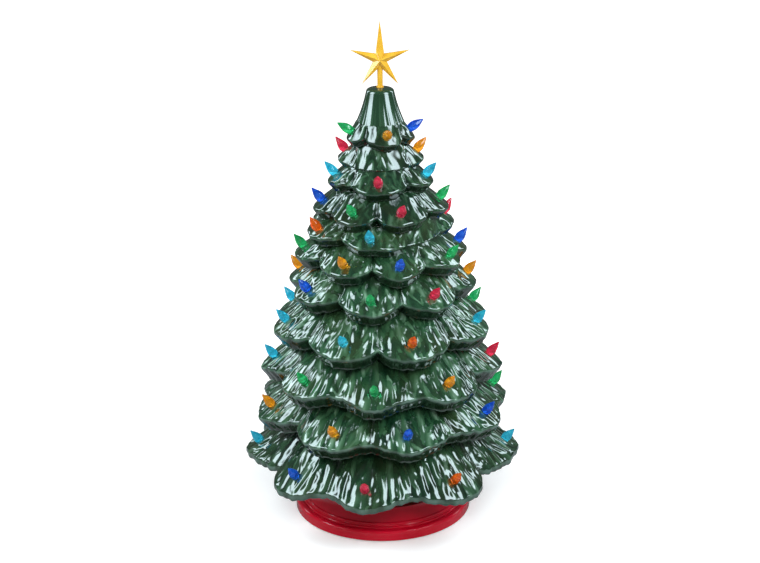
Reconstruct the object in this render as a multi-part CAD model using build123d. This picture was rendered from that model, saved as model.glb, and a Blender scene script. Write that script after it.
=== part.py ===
from build123d import *
import os
from collections import namedtuple
from math import ceil, cos, hypot, radians, sin

# All sizes are in millimetres. Z is up, the foot pads stand on z = 0, and the front faces -Y.
# Bearings are degrees from the front, turning towards +X.

# Foot pads
PAD_RADIUS = 5.0
PAD_THICKNESS = 1.5
PAD_COUNT = 4

# Base: a foot band, a groove, a cove up to the seat, a locating rim and a deck with the socket hole
BASE_RADIUS = 108.5
BASE_WALL = 7.0
FOOT_RING_WIDTH = 14.0
BAND_HEIGHT = 12.5
BAND_ROUND = 4.0
BAND_TOP_WIDTH = 6.5
GROOVE_WIDTH = 2.4
GROOVE_DEPTH = 2.0
COVE_DEPTH = 1.4
SEAT_HEIGHT = 34.5
SEAT_RADIUS = 90.0
RIM_WIDTH = 6.0
RIM_RISE = 6.0
RIM_CLEARANCE = 1.0
CORD_NOTCH_WIDTH = 9.0
CORD_NOTCH_HEIGHT = 10.0

# Tree: foot collar, boughs, neck and top
FOOT_RADIUS = 86.0
FOOT_WALL = 8.0
WALL = 5.0
HOLLOW_GAP = 5.0
LIP_HEIGHT = 6.5
RIB_WIDTH = 12.0
FOLD_DEPTH = 1.6
FOLD_FULL_LENGTH = 60.0
SKIRT_TIERS = 3
BARE_LEDGE = 0.6
BARE_LIP = 0.8
BARE_GAP = 100.0
BARE_HALF_WIDTH = 34.0
BARE_STEP = 12.0
SHOULDER_RISE = 21.0
SHOULDER_STEP = 0.8
NECK_HEIGHT = 38.0
NECK_WAIST_RADIUS = 20.5
NECK_TOP_RADIUS = 17.0
NECK_TOP_ROUND = 3.0
CROWN_THICKNESS = 9.0

# Bulbs: a faceted teardrop on a six-sided stem, pushed into a hole square to the bough
BULB_SIDES = 6
BULB_LENGTH = 21.0
BULB_RADIUS = 5.6
BULB_BELLY = 5.5
BULB_SHOULDER = 13.0
BULB_SHOULDER_RADIUS = 3.9
BULB_TIP_RADIUS = 0.6
BULB_FOOT_RADIUS = 2.6
STEM_RADIUS = 1.9
STEM_LENGTH = 6.5
STEM_CLEARANCE = 0.15
BULB_SEAT_GAP = 0.4
BULB_INSET = 5.0
BULB_INSET_SHARE = 0.22
HOLE_SPARE = 0.5
HOLE_SHARE = 0.19

# Star topper: a ridged five-point star on a stem with a seating collar
STAR_POINTS = 5
STAR_ARM = 35.5
STAR_TOP_ARM = 45.5
STAR_WAIST = 8.5
STAR_RIDGE = 7.0
STAR_EDGE = 1.2
STAR_RISE = 32.5
STAR_STEM_RADIUS = 3.2
STAR_PLUG_LENGTH = 14.0
STAR_STEM_CLEARANCE = 0.2
STAR_COLLAR_RADIUS = 4.4
STAR_COLLAR_HEIGHT = 1.2

# Lamp socket: flanged body through the deck, two spring wings, a thread sleeve and a contact tongue
SOCKET_RADIUS = 13.5
SOCKET_CLEARANCE = 0.4
SOCKET_ABOVE = 15.0
SOCKET_BELOW = 14.0
FLANGE_WIDTH = 4.0
FLANGE_HEIGHT = 2.0
CLIP_WIDTH = 9.0
CLIP_THICKNESS = 0.8
CLIP_REACH = 5.0
CLIP_DROP = 11.0
SLEEVE_WALL = 0.6
SLEEVE_CLEARANCE = 0.1
CONTACT_WIDTH = 4.0
CONTACT_THICKNESS = 0.6
CONTACT_RISE = 1.6

# Lamp: cap, insulator, solder tip, flame-shaped envelope, stem and filament
CAP_RADIUS = 5.8
CAP_LENGTH = 13.0
CAP_WALL = 0.5
CAP_STANDOFF = 2.0
CAP_CLEARANCE = 0.2
INSULATOR_HEIGHT = 2.2
TIP_RADIUS = 2.2
TIP_END_RADIUS = 1.2
TIP_HEIGHT = 1.2
CONTACT_GAP = 0.2
GLASS_LENGTH = 42.0
GLASS_RADIUS = 11.0
GLASS_BELLY_LOW = 13.0
GLASS_BELLY_HIGH = 21.0
GLASS_SHOULDER = 33.0
GLASS_SHOULDER_RADIUS = 6.6
GLASS_TIP_RADIUS = 1.4
GLASS_NECK_RADIUS = 5.6
GLASS_WALL = 0.8
LAMP_STEM_RADIUS = 3.0
LAMP_STEM_TOP_RADIUS = 1.5
LAMP_STEM_LENGTH = 12.0
LAMP_STEM_CLEARANCE = 0.1
LEAD_RADIUS = 0.35
LEAD_LENGTH = 10.0
LEAD_SPREAD = 1.5
FILAMENT_SPAN = 9.0

# Cutting tools run this far past the faces they open
OVERRUN = 1.0

COLOURS = {"R": "red", "G": "green", "B": "blue", "Q": "aqua", "A": "amber", "O": "orange"}

Tier = namedtuple("Tier", "tip_height tip_radius neck_radius notch_in notch_up bearings colours")

# The tiers from the top. Tip height is above the seat, and the neck is where the boughs leave the trunk.
# The notch between two boughs lies further in and higher than their tips.
# Each tier then has its boughs' bearings and a colour letter for the bulb on each.
TIERS = [
    Tier(437, 40.0, 26.5, 8.0, 6.0, (-81, 12, 97, 190), "GABR"),
    Tier(412, 51.0, 28.0, 8.5, 6.0, (-103, 98, 178), "RAG"),
    Tier(386, 62.0, 39.0, 11.0, 6.5, (-88, -3, 81, 145, 210), "QRQOG"),
    Tier(353, 80.0, 48.0, 12.5, 7.0, (-87, -28, 19, 93, 150, 212), "BGRGAQ"),
    Tier(329, 91.0, 64.0, 14.0, 6.5, (-65, -9, 112, 168, 232), "OQRBA"),
    Tier(297, 103.0, 70.0, 17.0, 8.5, (-86, -28, 13, 60, 97, 143, 188, 231), "GABGBROQ"),
    Tier(257, 114.0, 74.0, 19.0, 9.0, (-105, -58, -7, 36, 92, 145, 200), "ABGRAQR"),
    Tier(207, 132.0, 80.0, 17.0, 8.5, (-112, -76, -22, 17, 73, 109, 155, 203), "QQQOQGAR"),
    Tier(154, 147.0, 88.0, 13.0, 6.5, (-85, -44, -4, 36, 86, 130, 174, 226), "QGGARBOR"),
    Tier(102, 156.0, 97.0, 13.0, 6.5, (-112, -73, -24, 12, 62, 100, 140, 176, 212), "RAABBGQRO"),
    Tier(37, 168.5, 102.0, 14.0, 7.0, (-86, -43, -8, 34, 86, 130, 172, 206, 240), "QBROQAGBR"),
]

BASE_FLOOR = PAD_THICKNESS
SEAT = BASE_FLOOR + SEAT_HEIGHT
DECK_UNDERSIDE = SEAT - BASE_WALL
FOOT_INNER_RADIUS = FOOT_RADIUS - FOOT_WALL
RIM_RADIUS = FOOT_INNER_RADIUS - RIM_CLEARANCE
SOCKET_HOLE_RADIUS = SOCKET_RADIUS + SOCKET_CLEARANCE
SOCKET_BOTTOM = DECK_UNDERSIDE - SOCKET_BELOW
SOCKET_FLANGE_TOP = SEAT + FLANGE_HEIGHT
SOCKET_TOP = SOCKET_FLANGE_TOP + SOCKET_ABOVE
SLEEVE_RADIUS = CAP_RADIUS + CAP_CLEARANCE
CAP_TOP = SOCKET_TOP + CAP_STANDOFF
CAP_BOTTOM = CAP_TOP - CAP_LENGTH
LAMP_BOTTOM = CAP_BOTTOM - INSULATOR_HEIGHT - TIP_HEIGHT
SOCKET_BORE_FLOOR = LAMP_BOTTOM - CONTACT_GAP - CONTACT_RISE - CONTACT_THICKNESS
TIER_COUNT = len(TIERS)
NECK_FLOOR = SEAT + TIERS[0].tip_height + SHOULDER_RISE
TREE_TOP = NECK_FLOOR + NECK_HEIGHT
STANDING = (Align.CENTER, Align.CENTER, Align.MIN)


def at(bearing, radius, height):
    """The point at a bearing, a radius from the axis and a height."""
    turn = radians(bearing)
    return Vector(radius * sin(turn), -radius * cos(turn), height)


def turned(outline):
    """A solid of revolution about Z from a closed outline of (radius, height) edges."""
    return revolve(Plane.XZ * make_face(outline), Axis.Z)


def upright(radius, low, high):
    """A cylinder on the axis between two heights."""
    return Pos(0, 0, low) * Cylinder(radius, high - low, align=STANDING)


def closed_solid(faces):
    """The solid inside faces that meet edge to edge."""
    return Solid(Shell(faces))


def polygon(corners):
    """The flat face between corners."""
    return Face(Wire.make_polygon(corners))


def lip_foot(index):
    """The height of a tier's flat underside."""
    return SEAT + TIERS[index].tip_height - LIP_HEIGHT


def neck_height(index):
    """The height where a tier's boughs leave the trunk: the underside of the tier above."""
    return lip_foot(index - 1) if index else NECK_FLOOR


def trunk_below(index):
    """The radius of the trunk under a tier."""
    return TIERS[index + 1].neck_radius if index + 1 < TIER_COUNT else FOOT_RADIUS


def tip_place(index):
    """(radius, height) of a bough's tip."""
    return TIERS[index].tip_radius, SEAT + TIERS[index].tip_height


def notch_place(index):
    """(radius, height) of the lip between two boughs."""
    radius, height = tip_place(index)
    return radius - TIERS[index].notch_in, height + TIERS[index].notch_up


def bare_place(index):
    """(radius, height) of the lip where a tier has no bough and runs on into the next."""
    return trunk_below(index) + BARE_LEDGE, lip_foot(index) + BARE_LIP


def bough_end(index, bearing, neighbour):
    """(bearing, lip place) where a bough ends towards its neighbour: a notch, or a ledge before a bare gap."""
    if abs(neighbour - bearing) > BARE_GAP:
        side = 1 if neighbour > bearing else -1
        return bearing + side * BARE_HALF_WIDTH, bare_place(index)
    return (bearing + neighbour) / 2, notch_place(index)


def crest(index):
    """(outward run, drop, length) of a bough's crest from neck to tip."""
    radius, height = tip_place(index)
    out = radius - TIERS[index].neck_radius
    down = neck_height(index) - height
    return out, down, hypot(out, down)


def lip_fall(index, share):
    """How far the lip has gone from tip to end: an even wave on the lowest tiers, sharp notches above."""
    if index >= TIER_COUNT - SKIRT_TIERS:
        return (1 - cos(radians(180 * share))) / 2
    return share**2


def half_lip(index, bearing, end, end_place):
    """(bearing, lip place) at each rib and fold of a bough, from its tip to one end."""
    radius, height = tip_place(index)
    out, down, length = crest(index)
    depth = FOLD_DEPTH * min(1, length / FOLD_FULL_LENGTH)
    arc = radians(abs(end - bearing)) * radius
    steps = 2 * max(0, round(arc / RIB_WIDTH - 0.5)) + 1
    lip = []
    for step in range(steps + 1):
        share = step / steps
        fall = lip_fall(index, share)
        sunk = depth if step % 2 and step < steps else 0
        lip_radius = radius + (end_place[0] - radius) * fall - sunk * down / length
        lip_height = height + (end_place[1] - height) * fall - sunk * out / length
        lip.append((bearing + (end - bearing) * share, (lip_radius, lip_height)))
    return lip


def lip_ring(index):
    """(bearing, lip place) at each rib and fold round a tier, and at steps along a bare gap."""
    bearings = TIERS[index].bearings
    before = (bearings[-1] - 360,) + bearings[:-1]
    after = bearings[1:] + (bearings[0] + 360,)
    ring = []
    for last, bearing, following in zip(before, bearings, after):
        start_half = half_lip(index, bearing, *bough_end(index, bearing, last))
        end_half = half_lip(index, bearing, *bough_end(index, bearing, following))
        ring += start_half[::-1] + end_half[1:-1]
        if following - bearing > BARE_GAP:
            span = following - bearing - 2 * BARE_HALF_WIDTH
            steps = ceil(span / BARE_STEP)
            for step in range(steps):
                ring.append((bearing + BARE_HALF_WIDTH + span * step / steps, bare_place(index)))
    return ring


def bough_tier(index):
    """One tier of boughs: upper faces folded into ribs and an upright lip, over one flat underside."""
    ring = lip_ring(index)
    neck = [at(bearing, TIERS[index].neck_radius, neck_height(index)) for bearing, place in ring]
    lip = [at(bearing, *place) for bearing, place in ring]
    under = [at(bearing, place[0], lip_foot(index)) for bearing, place in ring]
    faces = [polygon(neck), polygon(under)]
    for number in range(len(ring)):
        faces.append(polygon([neck[number - 1], neck[number], lip[number]]))
        faces.append(polygon([neck[number - 1], lip[number], lip[number - 1]]))
        faces.append(polygon([lip[number - 1], lip[number], under[number], under[number - 1]]))
    return closed_solid(faces)


def bulb_plane(index, bearing):
    """A bulb's plane on its bough: the origin on the crest, the normal square to it."""
    out, down, length = crest(index)
    radius, height = tip_place(index)
    inset = BULB_INSET / length + BULB_INSET_SHARE
    seat = at(bearing, radius - inset * out, height + inset * down)
    return Plane(origin=seat, x_dir=at(bearing + 90, 1, 0), z_dir=at(bearing, down, out))


def hole_depth(index):
    """The depth of a bulb's hole, which reaches the hollow in the long boughs."""
    return max(STEM_LENGTH + HOLE_SPARE, HOLE_SHARE * crest(index)[2])


def hollow():
    """The space inside the tree, open below and swelling into each tier that has room for it."""
    outline = [(0, SEAT - OVERRUN), (FOOT_INNER_RADIUS, SEAT - OVERRUN)]
    for index in reversed(range(TIER_COUNT)):
        trunk = FOOT_INNER_RADIUS if index + 1 == TIER_COUNT else trunk_below(index) - WALL
        neck = TIERS[index].neck_radius - WALL
        notch_radius, notch_height = notch_place(index)
        fall = (neck_height(index) - notch_height) / (notch_radius - TIERS[index].neck_radius)
        floor = lip_foot(index) + WALL
        ceiling = neck_height(index) - WALL
        wide = min(notch_radius - FOLD_DEPTH - WALL, neck + (ceiling - floor - HOLLOW_GAP) / fall)
        outline.append((trunk, lip_foot(index)))
        if wide > trunk + WALL:
            outline.append((trunk, floor))
            outline.append((wide, floor))
            outline.append((wide, ceiling - (wide - neck) * fall))
            outline.append((neck, ceiling))
    outline.append((TIERS[0].neck_radius - WALL, NECK_FLOOR))
    outline.append((NECK_TOP_RADIUS - WALL, TREE_TOP - CROWN_THICKNESS))
    outline.append((0, TREE_TOP - CROWN_THICKNESS))
    return turned(Polyline(outline, close=True))


def tree_neck():
    """The plain flared neck above the boughs, with its rounded flat top."""
    shoulder = TREE_TOP - NECK_TOP_ROUND
    foot = (TIERS[0].neck_radius - SHOULDER_STEP, NECK_FLOOR)
    side = (NECK_TOP_RADIUS, shoulder)
    top = (NECK_TOP_RADIUS - NECK_TOP_ROUND, TREE_TOP)
    outline = [
        Line((0, NECK_FLOOR), foot),
        ThreePointArc(foot, (NECK_WAIST_RADIUS, (NECK_FLOOR + shoulder) / 2), side),
        RadiusArc(side, top, -NECK_TOP_ROUND),
        Polyline(top, (0, TREE_TOP), (0, NECK_FLOOR)),
    ]
    return turned(outline)


def ring_of_points(radius, height):
    """The corners of a bulb's section."""
    turns = [radians(number * 360 / BULB_SIDES) for number in range(BULB_SIDES)]
    return [Vector(radius * cos(turn), radius * sin(turn), height) for turn in turns]


def bulb_hole(depth):
    """The tool for a bulb's hole, standing through the XY plane."""
    section = Face(Wire.make_polygon(ring_of_points(STEM_RADIUS + STEM_CLEARANCE, -depth)))
    return Solid.extrude(section, Vector(0, 0, 2 * depth))


def tree_body():
    """The tree's shell: neck, tiers and foot collar, hollowed, with the star's hole and a hole for each bulb."""
    tiers = [bough_tier(index) for index in range(TIER_COUNT)]
    foot = upright(FOOT_RADIUS, SEAT, lip_foot(TIER_COUNT - 1))
    star_hole_radius = STAR_STEM_RADIUS + STAR_STEM_CLEARANCE
    star_hole = upright(star_hole_radius, TREE_TOP - CROWN_THICKNESS - OVERRUN, TREE_TOP + OVERRUN)
    holes = []
    for index, tier in enumerate(TIERS):
        tool = bulb_hole(hole_depth(index))
        holes += [bulb_plane(index, bearing).location * tool for bearing in tier.bearings]
    return tree_neck().fuse(*tiers, foot).cut(hollow(), star_hole, *holes)


def bulb():
    """One bulb standing on the XY plane, with its stem below."""
    rows = [
        (-STEM_LENGTH, STEM_RADIUS),
        (0, STEM_RADIUS),
        (0, BULB_FOOT_RADIUS),
        (BULB_BELLY, BULB_RADIUS),
        (BULB_SHOULDER, BULB_SHOULDER_RADIUS),
        (BULB_LENGTH, BULB_TIP_RADIUS),
    ]
    rings = [ring_of_points(radius, BULB_SEAT_GAP + height) for height, radius in rows]
    faces = [Face(Wire.make_polygon(rings[0])), Face(Wire.make_polygon(rings[-1]))]
    for lower, upper in zip(rings, rings[1:]):
        for number in range(BULB_SIDES):
            corners = [lower[number - 1], lower[number], upper[number], upper[number - 1]]
            faces.append(Face(Wire.make_polygon(corners)))
    return closed_solid(faces)


def bulbs(letter):
    """All bulbs of one colour."""
    one = bulb()
    places = []
    for index, tier in enumerate(TIERS):
        for bearing, colour in zip(tier.bearings, tier.colours):
            if colour == letter:
                places.append(bulb_plane(index, bearing))
    return Compound([place.location * one for place in places])


def base():
    """The round foot: outer band, groove, cove to the seat, locating rim, deck and hollow underside."""
    band_top = BASE_FLOOR + BAND_HEIGHT
    band_edge = BASE_RADIUS - BAND_TOP_WIDTH
    cove_start = band_edge - GROOVE_WIDTH
    inner_wall = BASE_RADIUS - FOOT_RING_WIDTH
    rim_inner = RIM_RADIUS - RIM_WIDTH
    cove_middle = ((cove_start + SEAT_RADIUS) / 2 - COVE_DEPTH, (band_top + SEAT) / 2)
    round_start = (BASE_RADIUS, band_top - BAND_ROUND)
    round_end = (BASE_RADIUS - BAND_ROUND, band_top)
    outline = [
        Polyline((inner_wall, BASE_FLOOR), (BASE_RADIUS, BASE_FLOOR), round_start),
        RadiusArc(round_start, round_end, -BAND_ROUND),
        Polyline(
            round_end,
            (band_edge, band_top),
            (band_edge - GROOVE_WIDTH / 2, band_top - GROOVE_DEPTH),
            (cove_start, band_top),
        ),
        ThreePointArc((cove_start, band_top), cove_middle, (SEAT_RADIUS, SEAT)),
        Polyline(
            (SEAT_RADIUS, SEAT),
            (RIM_RADIUS, SEAT),
            (RIM_RADIUS, SEAT + RIM_RISE),
            (rim_inner, SEAT + RIM_RISE),
            (rim_inner, SEAT),
            (SOCKET_HOLE_RADIUS, SEAT),
            (SOCKET_HOLE_RADIUS, DECK_UNDERSIDE),
            (SEAT_RADIUS - BASE_WALL, DECK_UNDERSIDE),
            (inner_wall, band_top - GROOVE_DEPTH),
            (inner_wall, BASE_FLOOR),
        ),
    ]
    notch_spring = CORD_NOTCH_HEIGHT - CORD_NOTCH_WIDTH / 2
    notch_length = 3 * FOOT_RING_WIDTH
    slot = Pos(0, BASE_RADIUS, 0) * Box(CORD_NOTCH_WIDTH, notch_length, BASE_FLOOR + notch_spring, align=STANDING)
    arch = Cylinder(CORD_NOTCH_WIDTH / 2, notch_length)
    arch = Pos(0, BASE_RADIUS, BASE_FLOOR + notch_spring) * Rot(90, 0, 0) * arch
    return turned(outline).cut(slot, arch)


def foot_pads():
    """Felt discs round the underside of the foot ring."""
    ring = BASE_RADIUS - FOOT_RING_WIDTH / 2
    pad = Cylinder(PAD_RADIUS, PAD_THICKNESS, align=STANDING)
    spacing = 360 / PAD_COUNT
    return Compound([Pos(at((number + 0.5) * spacing, ring, 0)) * pad for number in range(PAD_COUNT)])


def star_topper():
    """The ridged star facing the front, its stem, seating collar and plug."""
    middle = TREE_TOP + STAR_RISE
    rim = []
    for number in range(STAR_POINTS):
        point = radians(number * 360 / STAR_POINTS)
        dent = radians((number + 0.5) * 360 / STAR_POINTS)
        reach = STAR_ARM if number else STAR_TOP_ARM
        rim.append((reach * sin(point), middle + reach * cos(point)))
        rim.append((STAR_WAIST * sin(dent), middle + STAR_WAIST * cos(dent)))
    faces = []
    for number in range(len(rim)):
        (ax, az), (bx, bz) = rim[number - 1], rim[number]
        front = [Vector(ax, -STAR_EDGE, az), Vector(bx, -STAR_EDGE, bz)]
        back = [Vector(ax, STAR_EDGE, az), Vector(bx, STAR_EDGE, bz)]
        faces.append(Face(Wire.make_polygon(front + [Vector(0, -STAR_RIDGE, middle)])))
        faces.append(Face(Wire.make_polygon(back + [Vector(0, STAR_RIDGE, middle)])))
        faces.append(Face(Wire.make_polygon(front + back[::-1])))
    stem = upright(STAR_STEM_RADIUS, TREE_TOP - STAR_PLUG_LENGTH, middle)
    collar = upright(STAR_COLLAR_RADIUS, TREE_TOP, TREE_TOP + STAR_COLLAR_HEIGHT)
    return closed_solid(faces).fuse(stem, collar)


def lamp_socket():
    """The socket body: a flange on the deck, flats for the spring wings and a bore."""
    bore = SLEEVE_RADIUS + SLEEVE_WALL + SLEEVE_CLEARANCE
    body = upright(SOCKET_RADIUS, SOCKET_BOTTOM, SOCKET_TOP)
    flange = upright(SOCKET_RADIUS + FLANGE_WIDTH, SEAT, SOCKET_FLANGE_TOP)
    well = upright(bore, SOCKET_BORE_FLOOR, SOCKET_TOP + OVERRUN)
    flat = Box(2 * CLIP_THICKNESS, CLIP_WIDTH, DECK_UNDERSIDE - SOCKET_BOTTOM, align=STANDING)
    flats = [Pos(side * SOCKET_RADIUS, 0, SOCKET_BOTTOM) * flat for side in (-1, 1)]
    return body.fuse(flange).cut(well, *flats)


def socket_clips():
    """Two bent spring wings that press up under the deck beside the socket."""
    flat = SOCKET_RADIUS - CLIP_THICKNESS
    low = DECK_UNDERSIDE - CLIP_DROP
    knee = SOCKET_RADIUS
    tip = SOCKET_RADIUS + CLIP_REACH
    outline = [
        (flat, DECK_UNDERSIDE),
        (flat, low - CLIP_THICKNESS),
        (knee + CLIP_THICKNESS, low - CLIP_THICKNESS),
        (tip + CLIP_THICKNESS, DECK_UNDERSIDE),
        (tip, DECK_UNDERSIDE),
        (knee, low),
        (knee, DECK_UNDERSIDE),
    ]
    wing = extrude(Plane.XZ * make_face(Polyline(outline, close=True)), CLIP_WIDTH / 2, both=True)
    return Compound([wing, Rot(0, 0, 180) * wing])


def screw_shell():
    """The brass sleeve that takes the lamp's thread."""
    sleeve = upright(SLEEVE_RADIUS + SLEEVE_WALL, CAP_BOTTOM, SOCKET_TOP)
    return sleeve.cut(upright(SLEEVE_RADIUS, CAP_BOTTOM - OVERRUN, SOCKET_TOP + OVERRUN))


def centre_contact():
    """The contact tongue on the bore's floor, bent up under the lamp's tip."""
    half = SLEEVE_RADIUS - CONTACT_THICKNESS
    rise = SOCKET_BORE_FLOOR + CONTACT_RISE
    outline = [
        (-half, SOCKET_BORE_FLOOR),
        (-TIP_RADIUS, SOCKET_BORE_FLOOR),
        (0, rise),
        (TIP_RADIUS, rise),
        (TIP_RADIUS, rise + CONTACT_THICKNESS),
        (-CONTACT_THICKNESS / 2, rise + CONTACT_THICKNESS),
        (-TIP_RADIUS - CONTACT_THICKNESS / 2, SOCKET_BORE_FLOOR + CONTACT_THICKNESS),
        (-half, SOCKET_BORE_FLOOR + CONTACT_THICKNESS),
    ]
    return extrude(Plane.XZ * make_face(Polyline(outline, close=True)), CONTACT_WIDTH / 2, both=True)


def lamp_cap():
    """The lamp's brass cap, open above and with a hole in its floor for the tip's wire."""
    inside = upright(CAP_RADIUS - CAP_WALL, CAP_BOTTOM + CAP_WALL, CAP_TOP + OVERRUN)
    wire_hole = upright(TIP_END_RADIUS, CAP_BOTTOM - OVERRUN, CAP_TOP)
    return upright(CAP_RADIUS, CAP_BOTTOM, CAP_TOP).cut(inside, wire_hole)


def lamp_insulator():
    """The tapered black insulator under the cap."""
    taper = Cone(TIP_RADIUS, CAP_RADIUS - CAP_WALL, INSULATOR_HEIGHT, align=STANDING)
    return Pos(0, 0, CAP_BOTTOM - INSULATOR_HEIGHT) * taper


def lamp_tip():
    """The blunt solder tip under the insulator."""
    return Pos(0, 0, LAMP_BOTTOM) * Cone(TIP_END_RADIUS, TIP_RADIUS, TIP_HEIGHT, align=STANDING)


def flame(wall):
    """The envelope's flame form, drawn in by a wall."""
    top = CAP_TOP + GLASS_LENGTH - wall
    outline = [
        (0, CAP_TOP),
        (GLASS_NECK_RADIUS - wall, CAP_TOP),
        (GLASS_RADIUS - wall, CAP_TOP + GLASS_BELLY_LOW),
        (GLASS_RADIUS - wall, CAP_TOP + GLASS_BELLY_HIGH),
        (GLASS_SHOULDER_RADIUS - wall, CAP_TOP + GLASS_SHOULDER),
        (GLASS_TIP_RADIUS - wall, top),
        (0, top),
    ]
    return turned(Polyline(outline, close=True))


def lamp_glass():
    """The thin flame-shaped envelope standing on the cap."""
    return flame(0).cut(flame(GLASS_WALL))


def lamp_stem():
    """The tapered glass stem that rises inside the envelope from the cap's floor."""
    floor = CAP_BOTTOM + CAP_WALL
    top = CAP_TOP + LAMP_STEM_LENGTH
    outline = [
        (0, floor),
        (CAP_RADIUS - CAP_WALL - LAMP_STEM_CLEARANCE, floor),
        (LAMP_STEM_RADIUS, CAP_TOP),
        (LAMP_STEM_TOP_RADIUS, top),
        (0, top),
    ]
    return turned(Polyline(outline, close=True))


def lamp_filament():
    """Two lead wires standing on the stem and the filament between them."""
    foot = CAP_TOP + LAMP_STEM_LENGTH
    top = foot + LEAD_LENGTH
    wires = []
    for side in (-1, 1):
        start = Vector(side * LEAD_SPREAD / 2, 0, foot)
        lead = Vector(side * FILAMENT_SPAN / 2, 0, top) - start
        wire = Cylinder(LEAD_RADIUS, lead.length, align=STANDING)
        wires.append(Plane(origin=start, z_dir=lead).location * wire)
    filament = Pos(0, 0, top) * Rot(0, 90, 0) * Cylinder(LEAD_RADIUS, FILAMENT_SPAN)
    return filament.fuse(*wires).cut(upright(LAMP_STEM_RADIUS, foot - OVERRUN, foot))


def main():
    os.makedirs("parts", exist_ok=True)
    pieces = {
        "tree_body": tree_body(),
        "base": base(),
        "foot_pads": foot_pads(),
        "star_topper": star_topper(),
        "lamp_socket": lamp_socket(),
        "socket_clips": socket_clips(),
        "screw_shell": screw_shell(),
        "centre_contact": centre_contact(),
        "lamp_cap": lamp_cap(),
        "lamp_insulator": lamp_insulator(),
        "lamp_tip": lamp_tip(),
        "lamp_glass": lamp_glass(),
        "lamp_stem": lamp_stem(),
        "lamp_filament": lamp_filament(),
    }
    for letter, colour in COLOURS.items():
        pieces["bulbs_" + colour] = bulbs(letter)
    for name, shape in pieces.items():
        export_step(shape, "parts/" + name + ".step")


main()
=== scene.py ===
"""The look of a ceramic christmas tree around its CAD: glazed tiers, bulbs, materials, stage and camera."""
import math
from collections import namedtuple

import bpy
import numpy as np
from mathutils import Matrix, Vector


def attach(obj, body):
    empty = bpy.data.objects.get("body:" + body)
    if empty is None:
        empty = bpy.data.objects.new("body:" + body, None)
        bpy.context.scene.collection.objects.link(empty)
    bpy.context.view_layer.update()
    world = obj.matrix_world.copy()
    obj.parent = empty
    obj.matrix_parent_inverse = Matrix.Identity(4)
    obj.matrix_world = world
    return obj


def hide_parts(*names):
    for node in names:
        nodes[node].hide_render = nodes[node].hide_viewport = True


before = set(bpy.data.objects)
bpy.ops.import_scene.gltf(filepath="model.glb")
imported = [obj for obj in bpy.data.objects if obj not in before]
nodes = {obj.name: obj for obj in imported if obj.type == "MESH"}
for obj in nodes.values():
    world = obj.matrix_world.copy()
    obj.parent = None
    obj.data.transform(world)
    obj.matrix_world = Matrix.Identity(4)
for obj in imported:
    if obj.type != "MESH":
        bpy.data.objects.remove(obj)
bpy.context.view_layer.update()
SEED = 24
rng = np.random.default_rng(SEED)
MM = 0.001

# The tree's driving sizes, in millimetres and degrees, as in the CAD
SEAT = 36.0
LIP = 6.5
NECK_FLOOR = 494.0
TREE_TOP = 532.0
CROWN_FLOOR = 523.0
STAR_HOLE_R = 3.4
FOOT_R = 86.0
FOOT_IN = 78.0
WALL = 5.0
BARE_GAP = 100.0
BARE_HALF = 34.0
BULB_EDGE = 5.0
BULB_SHARE = 0.22
RIB_WIDTH = 12.0
FOLD_DEPTH = 1.6
FOLD_FULL = 60.0

# Tiers from the top: tip height, tip radius, neck radius, notch depth and rise, bearings and bulb colours
Tier = namedtuple("Tier", "tip_z tip_r neck_r notch_in notch_up bearings colours")
TIERS = [
    Tier(473, 40.0, 26.5, 8.0, 6.0, (-81, 12, 97, 190), "GABR"),
    Tier(448, 51.0, 28.0, 8.5, 6.0, (-103, 98, 178), "RAG"),
    Tier(422, 62.0, 39.0, 11.0, 6.5, (-88, -3, 81, 145, 210), "QRQOG"),
    Tier(389, 80.0, 48.0, 12.5, 7.0, (-87, -28, 19, 93, 150, 212), "BGRGAQ"),
    Tier(365, 91.0, 64.0, 14.0, 6.5, (-65, -9, 112, 168, 232), "OQRBA"),
    Tier(333, 103.0, 70.0, 17.0, 8.5, (-86, -28, 13, 60, 97, 143, 188, 231), "GABGBROQ"),
    Tier(293, 114.0, 74.0, 19.0, 9.0, (-105, -58, -7, 36, 92, 145, 200), "ABGRAQR"),
    Tier(243, 132.0, 80.0, 17.0, 8.5, (-112, -76, -22, 17, 73, 109, 155, 203), "QQQOQGAR"),
    Tier(190, 147.0, 88.0, 13.0, 6.5, (-85, -44, -4, 36, 86, 130, 174, 226), "QGGARBOR"),
    Tier(138, 156.0, 97.0, 13.0, 6.5, (-112, -73, -24, 12, 62, 100, 140, 176, 212), "RAABBGQRO"),
    Tier(73, 168.5, 102.0, 14.0, 7.0, (-86, -43, -8, 34, 86, 130, 172, 206, 240), "QBROQAGBR"),
]
COUNT = len(TIERS)
COLOURS = {"R": "red", "G": "green", "B": "blue", "Q": "aqua", "A": "amber", "O": "orange"}
# The skirt is this many of the lowest tiers, whose lips are waved
SKIRT = 3

# From the top tier down: strength and size of the needles, and how far boughs swell
SOFTNESS = (0.55, 0.5, 0.45, 0.36, 0.45, 0.5, 0.6, 0.75, 0.8, 0.8, 0.72)
BOLD = (1.0, 1.0, 1.0, 1.05, 1.1, 1.2, 1.4, 1.6, 1.75, 1.75, 1.8)
SWELL = (0.4, 0.6, 0.9, 1.0, 1.0, 1.1, 1.1, 0.9, 0.5, 0.5, 0.5)
# Top tier down: painted sheen of the rim, lightness under painted shade, and height of the rim under the lip
TIER_SHEEN = (0.1, 0.1, 0.1, 0.1, 0.15, 0.15, 0.25, 0.5, 0.9, 0.9, 1.0)
TIER_PAINTED_LIGHTNESS = (0.24, 0.33, 0.38, 0.22, 0.62, 0.75, 0.8, 0.85, 0.85, 0.85, 0.48)
RIM = (9.0, 8.5, 11.5, 12.5, 11.5, 14.5, 16.0, 17.0, 17.0, 17.0, 7.5)
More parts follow.
